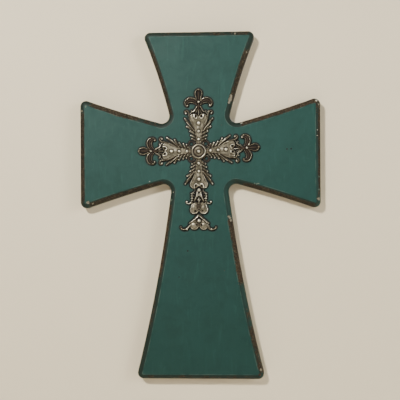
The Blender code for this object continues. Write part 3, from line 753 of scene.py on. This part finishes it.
def drawOutline(bm):
    # each arm has a square end, round corners and two hollow sides, and fillets join the arms
    corner = board["edgeRound"] + board["faceStepRun"] + board["faceCorner"]
    arms = (
        (Matrix(((1, 0), (0, 1))), board["topReach"], board["topEndHalf"], board["topHollow"]),
        (Matrix(((0, 1), (1, 0))), board["sideReach"], board["sideEndHalf"], board["sideHollow"]),
        (Matrix(((0, 1), (-1, 0))), board["sideReach"], board["sideEndHalf"], board["sideHollow"]),
        (Matrix(((1, 0), (0, -1))), board["footReach"], board["footEndHalf"], board["footHollow"]),
    )
    sides = []
    for turned, reach, endHalf, hollow in arms:
        centre, radius = armSide(reach, endHalf, hollow)
        along = reach - corner
        roundCentre = Vector((centre.x - math.sqrt((radius + corner) ** 2 - (along - centre.y) ** 2), along))
        meet = centre + (roundCentre - centre).normalized() * radius
        square = Vector((roundCentre.x, reach))
        sides.append((radius, *(turned @ point for point in (centre, roundCentre, meet, square))))
    for upper, lower in (sides[:2], sides[2:]):
        fillet = notchCentre((upper[1], upper[0]), (lower[1], lower[0]), board["notchFillet"])
        ends = []
        for radius, centre, roundCentre, meet, square in (upper, lower):
            end = centre + (fillet - centre).normalized() * radius
            ends.append(end)
            drawArc(bm, roundCentre, square, meet)
            drawArc(bm, centre, meet, end)
        drawArc(bm, fillet, *ends)
    drawLine(bm, Vector((0, board["topReach"])), sides[0][4])
    drawLine(bm, sides[1][4], sides[2][4])
    drawLine(bm, sides[3][4], Vector((0, -board["footReach"])))
    bmesh.ops.mirror(bm, geom=bm.verts[:] + bm.edges[:], axis="X", merge_dist=0.02)
    bmesh.ops.remove_doubles(bm, verts=bm.verts, dist=0.05)
    bmesh.ops.edgeloop_fill(bm, edges=bm.edges)


def keyholeCutters():
    # a round entry with a narrow neck above it, and the wide pocket behind the lip
    rise, radius, neck = board["keyholeRise"], board["keyholeRadius"], board["keyholeNeck"] / 2
    top, depth = rise + board["keyholeTravel"], board["keyholeDepth"]
    neckCut = (neck, math.asin(neck / radius), -1.0, depth - 1.0)
    pocketCut = (radius, math.pi / 2, board["keyholeLip"], depth)
    cutters = []
    for half, swing, low, high in (neckCut, pocketCut):
        cutter = bmesh.new()
        lead = cutter.verts.new((radius * math.sin(swing), rise + radius * math.cos(swing), low))
        bmesh.ops.spin(cutter, geom=[lead], cent=(0, rise, low), axis=(0, 0, 1),
                       angle=2 * swing - 2 * math.pi, steps=40)
        lead = cutter.verts.new((-half, top, low))
        bmesh.ops.spin(cutter, geom=[lead], cent=(0, top, low), axis=(0, 0, 1), angle=-math.pi, steps=24)
        bmesh.ops.remove_doubles(cutter, verts=cutter.verts, dist=0.001)
        ends = [vert for vert in cutter.verts if len(vert.link_edges) == 1]
        for hand in (1, -1):
            bmesh.ops.contextual_create(cutter, geom=[vert for vert in ends if vert.co.x * hand > 0])
        bmesh.ops.edgeloop_fill(cutter, edges=cutter.edges)
        liftFace(cutter, cutter.faces[:][0], high - low)
        bmesh.ops.recalc_face_normals(cutter, faces=cutter.faces)
        cutters.append(cutter)
    return cutters


def cutAway(bm, cutter):
    tool = objectFrom(cutter, "cutter")
    cut = modified(bm, "BOOLEAN", operation="DIFFERENCE", solver="EXACT", object=tool)
    discard(tool)
    return cut


def treeOf(places):
    tree = KDTree(len(places))
    for index, place in enumerate(places):
        tree.insert(place, index)
    tree.balance()
    return tree


def gridFace(wood, top, nearMetal, chipPlaces):
    # cuts across the face, and finer ones round the casting and the chips
    surface = [top, *top.edges, *top.verts]
    spacing = board["gridSpacing"]
    for axis, low, high in board["gridSpans"]:
        normal = [0, 0, 0]
        normal[axis] = 1
        for index in range(math.ceil(low / spacing), math.floor(high / spacing) + 1):
            at = [0, 0, 0]
            at[axis] = index * spacing + board["gridOffset"]
            cut = bmesh.ops.bisect_plane(wood, geom=surface, dist=0.0001, plane_co=at, plane_no=normal)
            surface = cut["geom"]
    for cuts, metalReach, chipReach in board["finer"]:
        chosen = {}
        for face in wood.faces:
            middle = face.calc_center_median()
            if middle.z < board["thickness"] - 0.01 or face.calc_area() > 5:
                continue
            flat = (middle.x, middle.y, 0)
            if nearMetal.find(flat)[2] < metalReach or chipPlaces.find(flat)[2] < chipReach:
                chosen.update(dict.fromkeys(face.edges))
        bmesh.ops.subdivide_edges(wood, edges=list(chosen), cuts=cuts, use_grid_fill=True)


def makeBoard(ornament):
    wood = bmesh.new()
    drawOutline(wood)
    rim = treeOf([vert.co.copy() for vert in wood.verts])
    bmesh.ops.translate(wood, verts=wood.verts, vec=(0, 0, board["backChamfer"]))
    top = topFace(wood)
    for _ in range(board["wallRows"]):
        top = liftFace(wood, top, (shoulder - board["backChamfer"]) / board["wallRows"])
    bmesh.ops.recalc_face_normals(wood, faces=wood.faces)
    back = min(wood.faces, key=lambda face: face.calc_center_median().z - len(face.verts))
    stepIn(wood, back, ((board["backChamfer"], board["backChamfer"]),))
    for cutter in keyholeCutters():
        wood = cutAway(wood, cutter)

    top = max(wood.faces, key=lambda face: len(face.verts) * (face.calc_center_median().z > shoulder - 0.1))
    steps = board["roundSteps"]
    for step in range(steps):
        low, high = (math.pi / 2 * share / steps for share in (step, step + 1))
        inset = board["edgeRound"] * (math.cos(low) - math.cos(high))
        rise = board["edgeRound"] * (math.sin(high) - math.sin(low))
        stepIn(wood, top, ((inset, rise),))
    stepIn(wood, top, board["faceRows"])
    print("board drawn:", len(wood.faces), "faces")

    metalFoot = casting["back"] + 0.7
    nearMetal = treeOf([(vert.co.x * 1000, vert.co.z * 1000, 0) for vert in ornament.data.vertices
                        if -vert.co.y * 1000 < metalFoot])
    chipPlaces = treeOf([(*chip[0], 0) for chip in chips])
    gridFace(wood, top, nearMetal, chipPlaces)
    print("board gridded:", len(wood.faces), "faces")

    marks, colours = wearBoard(wood, rim, nearMetal, chipPlaces)
    piece = pieceFrom(wood, "painted_board")
    piece.data.shade_smooth()
    piece.data.set_sharp_from_angle(angle=math.radians(board["sharpAngle"]))
    for name, values in zip(edgeMarks, zip(*marks)):
        storeValues(piece.data, name, values)
    bareColour = piece.data.attributes.new("bareColour", "FLOAT_COLOR", "POINT")
    bareColour.data.foreach_set("color", np.asarray(colours, dtype=np.float32).ravel())
    piece.data.calc_loop_triangles()
    print("board worn:", len(piece.data.loop_triangles), "triangles")
    return piece


def rubAt(place):
    # how much the nearest rubbed stretch of edge shows here, how far it creeps in, and how red it is
    rubbed, hold, creep, redness = 0.0, 1.0, 0.2, 0.0
    for start, end, amount, startsAt, inward, red in rubbedEdges:
        start, end = Vector(start), Vector(end)
        line = end - start
        share = (place - start).dot(line) / line.length_squared
        if not -0.2 < share < 1.2:
            continue
        if (place - start - line * share).length > board["rubbedReach"]:
            continue
        along = share * line.length
        shown = amount * smoothStep(-5, 7, along) * smoothStep(-5, 7, line.length - along)
        if shown > rubbed:
            rubbed, hold, creep, redness = shown, startsAt, inward, red
    return rubbed, hold, creep, redness


def pastTheRim(place, fromOutline):
    # how far a point is past the rim of the face, going over the rounding, down the side and onto the back
    roundStarts = 0.4
    if place.z > board["thickness"] - 0.02:
        return board["edgeRound"] + board["faceStepRun"] - fromOutline
    if place.z > shoulder:
        lean = math.asin(min(1, (place.z - shoulder) / board["edgeRound"]))
        return roundStarts + board["edgeRound"] * (math.pi / 2 - lean)
    onSide = place.z if fromOutline < 2 else 0      # the keyhole counts as the back
    return roundStarts + board["edgeRound"] * math.pi / 2 + shoulder - onSide


def chipAt(place, flat, chipPlaces):
    # how far a point lies in a chip, how deep it is knocked in, and what shows there
    chipped, deepest, bare = 0.0, 0.0, board["outsideChips"]
    for _, index, distance in chipPlaces.find_range(flat, board["chipReach"]):
        _, size, depth, kind = chips[index]
        ragged = noise.noise(place * 0.8 + Vector((index * 7.3, 0, 0))) + noise.noise(place * 2.1)
        below = max(0, board["thickness"] - place.z - size * 1.3)      # a chip at the edge runs down over it
        amount = smoothStep(1.15, 0.55, (distance + below * 0.8) / size + 0.5 * ragged)
        if amount > chipped:
            chipped, bare = amount, board[kind]
        deepest = max(deepest, amount * depth)
    return chipped, deepest, bare


def wearBoard(wood, rim, nearMetal, chipPlaces):
    # knocks the chips in, lets the edge wander, and notes what the paint needs to know at each point
    wood.normal_update()
    marks, colours, moves = [], [], []
    for vert in wood.verts:
        place = vert.co.copy()
        flat = Vector((place.x, place.y, 0))
        past = pastTheRim(place, rim.find(flat)[2])
        rubbed, hold, creep, redness = rubAt(flat.xy) if past > -9 else (0, 1, 0, 0)
        rubbed *= 1 - 0.75 * smoothStep(*board["rubbedLow"], past)
        chipped, inward, bare = 0.0, 0.0, board["outsideChips"]
        if place.z > 1.5:
            chipped, inward, bare = chipAt(place, flat, chipPlaces)
        if past > 0.3 and place.z > 1:
            wander = abs(noise.noise(place * 0.11)) + 0.5 * abs(noise.noise(place * 0.45))
            inward += board["waver"] * wander * (0.5 + rubbed) * smoothStep(0.3, 3, past)
            if rubbed > 0.5:
                hollow = max(0, noise.noise(place * 0.8 + Vector((0, 0, 9))))
                inward += board["gouge"] * hollow * creep
        moves.append(vert.normal * -inward)
        # how much dark glaze and painted shade go over the rounding: less on right-facing edges lower down
        glazeAndShade = 0.9 - 0.5 * smoothStep(-0.1, 0.5, vert.normal.x) * smoothStep(20, -25, place.y)
        fromMetal = min(20, nearMetal.find(flat)[2]) if place.z > board["thickness"] - 1 else 20
        marks.append((past, rubbed, hold, creep, redness, glazeAndShade, fromMetal, chipped))
        colours.append((*bare, 1))
    for vert, move in zip(wood.verts, moves):
        vert.co += move
    return marks, colours


# Materials

def startMaterial(name):
    material = bpy.data.materials.new(name)
    material.use_nodes = True
    tree = material.node_tree
    where = tree.nodes.new("ShaderNodeTexCoord").outputs["Object"]
    return material, tree, tree.nodes["Principled BSDF"], where


def plug(tree, value, socket):
    if isinstance(value, bpy.types.NodeSocket):
        tree.links.new(value, socket)
    elif isinstance(value, tuple) and len(value) == 3 and socket.type == "RGBA":
        socket.default_value = (*value, 1)
    else:
        socket.default_value = value


def addNode(tree, kind, inputs, output=0, **settings):
    node = tree.nodes.new("ShaderNode" + kind)
    for name, value in settings.items():
        setattr(node, name, value)
    for name, value in inputs.items():
        plug(tree, value, node.inputs[name])
    return node.outputs[output]


def calc(tree, operation, a, b):
    return addNode(tree, "Math", {0: a, 1: b}, operation=operation)


def times(tree, a, b):
    return calc(tree, "MULTIPLY", a, b)


def weighed(tree, *parts):
    # the sum of values, each times its weight
    total = times(tree, *parts[0])
    for part in parts[1:]:
        total = calc(tree, "ADD", total, times(tree, *part))
    return total


def centred(tree, noisy):
    # a noise moved to lie about nought
    return calc(tree, "SUBTRACT", noisy, 0.5)


def fade(tree, value, low, high):
    # 0 below low and 1 above high, smooth in between; low may be the larger
    flipped = low > high
    ends = {"From Min": min(low, high), "From Max": max(low, high),
            "To Min": float(flipped), "To Max": float(not flipped)}
    return addNode(tree, "MapRange", {"Value": value, **ends}, "Result", interpolation_type="SMOOTHSTEP")


def speckle(tree, where, scale, detail, roughness=0.55, distortion=0.0):
    return addNode(tree, "TexNoise", {"Vector": where, "Scale": scale, "Detail": detail,
                                      "Roughness": roughness, "Distortion": distortion}, "Fac")


def blendColour(tree, factor, under, over, mode="MIX"):
    return addNode(tree, "Mix", {0: factor, 6: under, 7: over}, 2, data_type="RGBA", blend_type=mode)


def twoTone(tree, value, low, high, colours):
    return blendColour(tree, fade(tree, value, low, high), *colours)


def glaze(tree, under, over, value, low, high, amount, mode="MIX"):
    # one colour laid thinly over another, more of it as a value goes from low to high
    return blendColour(tree, times(tree, fade(tree, value, low, high), amount), under, over, mode)


def blendNumber(tree, factor, under, over):
    return addNode(tree, "Mix", {0: factor, 2: under, 3: over})


def stored(tree, name, output="Fac"):
    return addNode(tree, "Attribute", {}, output, attribute_name=name)


def stretched(tree, where, scale, turn):
    return addNode(tree, "Mapping", {"Vector": where, "Scale": scale, "Rotation": (0, turn, 0)}, "Vector")


def finishShader(tree, shader, colour, specular, rough, height, strength, distance):
    bump = {"Height": height, "Strength": strength, "Distance": distance}
    normal = addNode(tree, "Bump", bump, "Normal")
    for name, value in (("Base Color", colour), ("Specular IOR Level", specular), ("Roughness", rough),
                        ("Normal", normal)):
        plug(tree, value, shader.inputs[name])


def paintMaterial():
    material, tree, shader, where = startMaterial("rubbed_teal_paint")
    past, creep = stored(tree, "pastRim"), stored(tree, "creep")
    clouds = speckle(tree, where, 22, 3)
    mottle = speckle(tree, where, 95, 6, 0.62, 0.4)
    grains = speckle(tree, where, 620, 5, 0.7)
    strokes = speckle(tree, stretched(tree, where, (260, 60, 38), 0.5), 1.0, 4, 0.6, 0.6)
    upward = addNode(tree, "SeparateXYZ", {0: where}, "Z")

    colour = twoTone(tree, clouds, 0.3, 0.72, board["teal"])
    colour = glaze(tree, colour, board["tealMottle"], mottle, 0.42, 0.70, 0.4)
    colour = glaze(tree, colour, board["tealStroke"], strokes, 0.52, 0.78, 0.4)
    colour = glaze(tree, colour, board["tealGrain"], grains, 0.60, 0.76, 0.4)
    # painted shade: the teal darkens towards the foot, where the light falls off
    colour = glaze(tree, colour, board["footShade"], upward, 0.04, -0.22, 0.42, "MULTIPLY")

    # dark glaze wiped into the step and over the rounding, which also stands in for the shade on the rounding
    # (painted shade); less of it on the right-facing edges lower down
    stain = fade(tree, weighed(tree, (past, 1), (mottle, 0.8)), 0.3, 1.5)
    colour = blendColour(tree, times(tree, stain, stored(tree, "glazeAndShade")), colour, board["stain"])

    # the brown that shows where the paint is rubbed off, and the plain back
    fine, broad = speckle(tree, where, 330, 5, 0.7), speckle(tree, where, 85, 3)
    ragged = weighed(tree, (centred(tree, fine), 1), (centred(tree, broad), 1.4),
                     (centred(tree, grains), 1.3))
    reach = times(tree, calc(tree, "ADD", ragged, 0.06), weighed(tree, (creep, 5.0), (1.3, 1)))
    onBand = fade(tree, weighed(tree, (past, 1), (reach, 1), (stored(tree, "hold"), -1)), -0.1, 0.4)
    enough = fade(tree, weighed(tree, (stored(tree, "rubbed"), 1.15), (ragged, 1)), 0.42, 0.72)
    bareWood = times(tree, onBand, enough)
    brown = twoTone(tree, speckle(tree, where, 240, 5, 0.65), 0.35, 0.7, board["brown"])
    redder = twoTone(tree, speckle(tree, where, 190, 4), 0.35, 0.65, board["redBrown"])
    brown = blendColour(tree, stored(tree, "redness"), brown, redder)
    brown = glaze(tree, brown, board["fleck"], grains, 0.50, 0.64, weighed(tree, (creep, 0.6), (0.25, 1)))
    colour = blendColour(tree, bareWood, colour, brown)
    backing = twoTone(tree, mottle, 0.3, 0.7, board["bareBack"])
    colour = blendColour(tree, fade(tree, past, 17.2, 18.0), colour, backing)

    # a thin lighter line along the edge of the face, and a dark wash round the casting that is partly glaze
    # and partly painted shadow where the casting meets the board
    line = times(tree, fade(tree, past, -0.75, -0.2), fade(tree, past, 0.5, 0.1))
    line = times(tree, line, fade(tree, speckle(tree, where, 120, 4), 0.40, 0.62))
    colour = blendColour(tree, times(tree, line, 0.5), colour, board["faceEdgeLine"])
    fromMetal = weighed(tree, (stored(tree, "fromMetal"), 1), (centred(tree, mottle), 1.2))
    colour = glaze(tree, colour, board["washAndShadow"], fromMetal, 2.05, 0.75, 0.95)

    chip = fade(tree, weighed(tree, (stored(tree, "chipped"), 1), (centred(tree, grains), 0.5)), 0.35, 0.5)
    bareColour = stored(tree, "bareColour", "Color")
    bare = blendColour(tree, fade(tree, grains, 0.3, 0.7), bareColour, board["chipShade"], "MULTIPLY")
    colour = blendColour(tree, chip, colour, blendColour(tree, 0.65, bare, bareColour))

    rough = blendNumber(tree, fade(tree, mottle, 0.3, 0.7), 0.56, 0.62)
    rough = blendNumber(tree, calc(tree, "MAXIMUM", bareWood, chip), rough, 0.78)
    height = weighed(tree, (mottle, 0.6), (strokes, 0.5), (grains, 0.22), (bareWood, -0.7), (chip, -0.5))
    finishShader(tree, shader, colour, 0.25, rough, height, 0.6, 0.0003)
    return material


def metalMaterial():
    material, tree, shader, where = startMaterial("antiqued_silver")
    outward, jewel, browned = stored(tree, "outward"), stored(tree, "fromJewel"), stored(tree, "browned")
    blotch = speckle(tree, where, 130, 5, 0.6)
    pits = speckle(tree, where, 900, 4, 0.65)

    # the stain stays in the low places and in a ring round each bead, and wears off the proud places
    ring = times(tree, fade(tree, jewel, -0.15, 0.15), fade(tree, jewel, 0.80, 0.35))
    shine = weighed(tree, (stored(tree, "proudNear"), 5.0), (stored(tree, "proudWide"), 1.2),
                    (stored(tree, "aboveBack"), 0.22), (centred(tree, blotch), 0.9), (outward, -0.22),
                    (stored(tree, "wiped"), 0.34), (fade(tree, jewel, 0.1, -0.4), 0.9), (ring, -0.5),
                    (stored(tree, "sunk"), -1.2))
    wornDown = calc(tree, "SUBTRACT", shine, times(tree, browned, 0.55))
    silver = fade(tree, wornDown, 0.45, 0.85)
    gleam = fade(tree, wornDown, 0.84, 1.40)
    # the lowest places go near black: patina in the hollows, and painted shade along the foot of the casting
    # where it meets the board
    deep = times(tree, fade(tree, shine, 0.48, 0.02), weighed(tree, (1.0, 1), (browned, -0.2)))
    dull = twoTone(tree, blotch, 0.38, 0.62, casting["dull"])
    bright = blendColour(tree, gleam, dull, casting["bright"])
    bright = blendColour(tree, times(tree, outward, 0.5), bright, casting["lilySilver"])
    stain = blendColour(tree, outward, casting["stain"], casting["lilyStain"])
    colour = blendColour(tree, silver, stain, bright)
    colour = blendColour(tree, deep, colour, casting["patinaAndShadeBlack"])
    plug(tree, blendNumber(tree, silver, 0.35, 1.0), shader.inputs["Metallic"])
    rough = weighed(tree, (blendNumber(tree, silver, 0.62, 0.28), 1), (pits, 0.14))
    height = weighed(tree, (pits, 0.6), (blotch, 1))
    finishShader(tree, shader, colour, 0.3, rough, height, 0.5, 0.00012)
    return material


ornament = makeCasting()
ornament.data.materials.append(metalMaterial())
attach(ornament, "root")
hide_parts("casting")

slab = makeBoard(ornament)
slab.data.materials.append(paintMaterial())
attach(slab, "root")
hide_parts("board")


# Stage, light and camera

stage = {
    "wallColour": (0.77, 0.675, 0.49),
    "floorColour": (0.66, 0.63, 0.57),
    "floorDrop": 0.34,
    "wallGap": 0.0006,
    # place, size, power and colour of each light
    "key": ((-0.38, -0.95, 0.45), 0.13, 17.0, (1.0, 0.97, 0.92)),
    "fill": ((1.0, -0.80, 0.22), 0.6, 9.0, (1.0, 0.98, 0.95)),
    "sky": ((0.0, -0.7, 1.3), 1.2, 0.6, (1.0, 0.98, 0.95)),
    "rear": ((0.5, 1.3, 0.7), 0.8, 24.0, (1.0, 0.98, 0.95)),
    "lightsAim": (0, 0, -0.03),
    "worldColour": (0.80, 0.78, 0.74, 1),
    "worldStrength": 0.09,
    "lens": 72.0,
    "cameraPlace": (0.03927, -0.81403, -0.04654),
    "cameraTurn": 2.79,
    "cameraRoll": -0.29,
}


def pale(name, colour):
    # plain matt paint, see-through from behind
    material, tree, shader, where = startMaterial(name)
    shade = tuple(value * 0.95 for value in colour)
    plug(tree, blendColour(tree, speckle(tree, where, 3.0, 2), colour, shade), shader.inputs["Base Color"])
    plug(tree, 0.85, shader.inputs["Roughness"])
    behind = addNode(tree, "NewGeometry", {}, "Backfacing")
    clear = addNode(tree, "BsdfTransparent", {})
    surface = addNode(tree, "MixShader", {0: behind, 1: shader.outputs[0], 2: clear})
    plug(tree, surface, tree.nodes["Material Output"].inputs["Surface"])
    return material


def stageSheet(name, matrix, material):
    bm = bmesh.new()
    bmesh.ops.create_grid(bm, x_segments=2, y_segments=2, size=2.0, matrix=matrix)
    sheet = objectFrom(bm, name)
    sheet.data.materials.append(material)
    return sheet


upright = Matrix.Rotation(math.pi / 2, 4, "X")
wallPlace = Matrix.Translation((0, stage["wallGap"], 2.0 - stage["floorDrop"])) @ upright
backdrop = stageSheet("backdrop", wallPlace, pale("pale_backdrop", stage["wallColour"]))
backdrop.visible_shadow = False
floorPlace = Matrix.Translation((0, 0, -stage["floorDrop"]))
stageSheet("floor", floorPlace, pale("pale_floor", stage["floorColour"]))


def softLight(name, place, size, power, colour):
    light = bpy.data.lights.new(name, "AREA")
    light.shape = "DISK"
    light.size = size
    light.energy = power
    light.color = colour
    lamp = bpy.data.objects.new(name, light)
    lamp.location = place
    lamp.rotation_euler = (Vector(stage["lightsAim"]) - Vector(place)).to_track_quat("-Z", "Y").to_euler()
    bpy.context.scene.collection.objects.link(lamp)


for name in ("key", "fill", "sky", "rear"):
    softLight(name, *stage[name])

world = bpy.data.worlds.new("studio")
world.use_nodes = True
world.node_tree.nodes["Background"].inputs["Color"].default_value = stage["worldColour"]
world.node_tree.nodes["Background"].inputs["Strength"].default_value = stage["worldStrength"]
bpy.context.scene.world = world

camera = bpy.data.objects.new("camera", bpy.data.cameras.new("camera"))
camera.data.lens = stage["lens"]
camera.data.sensor_width = 36.0
camera.data.clip_start = 0.01
aimed = Matrix.Rotation(math.radians(stage["cameraTurn"]), 4, "Z") @ upright
rolled = aimed @ Matrix.Rotation(math.radians(stage["cameraRoll"]), 4, "Z")
camera.matrix_world = Matrix.Translation(stage["cameraPlace"]) @ rolled
bpy.context.scene.collection.objects.link(camera)
bpy.context.scene.camera = camera
print("stage set:", len(bpy.data.lights), "lights")
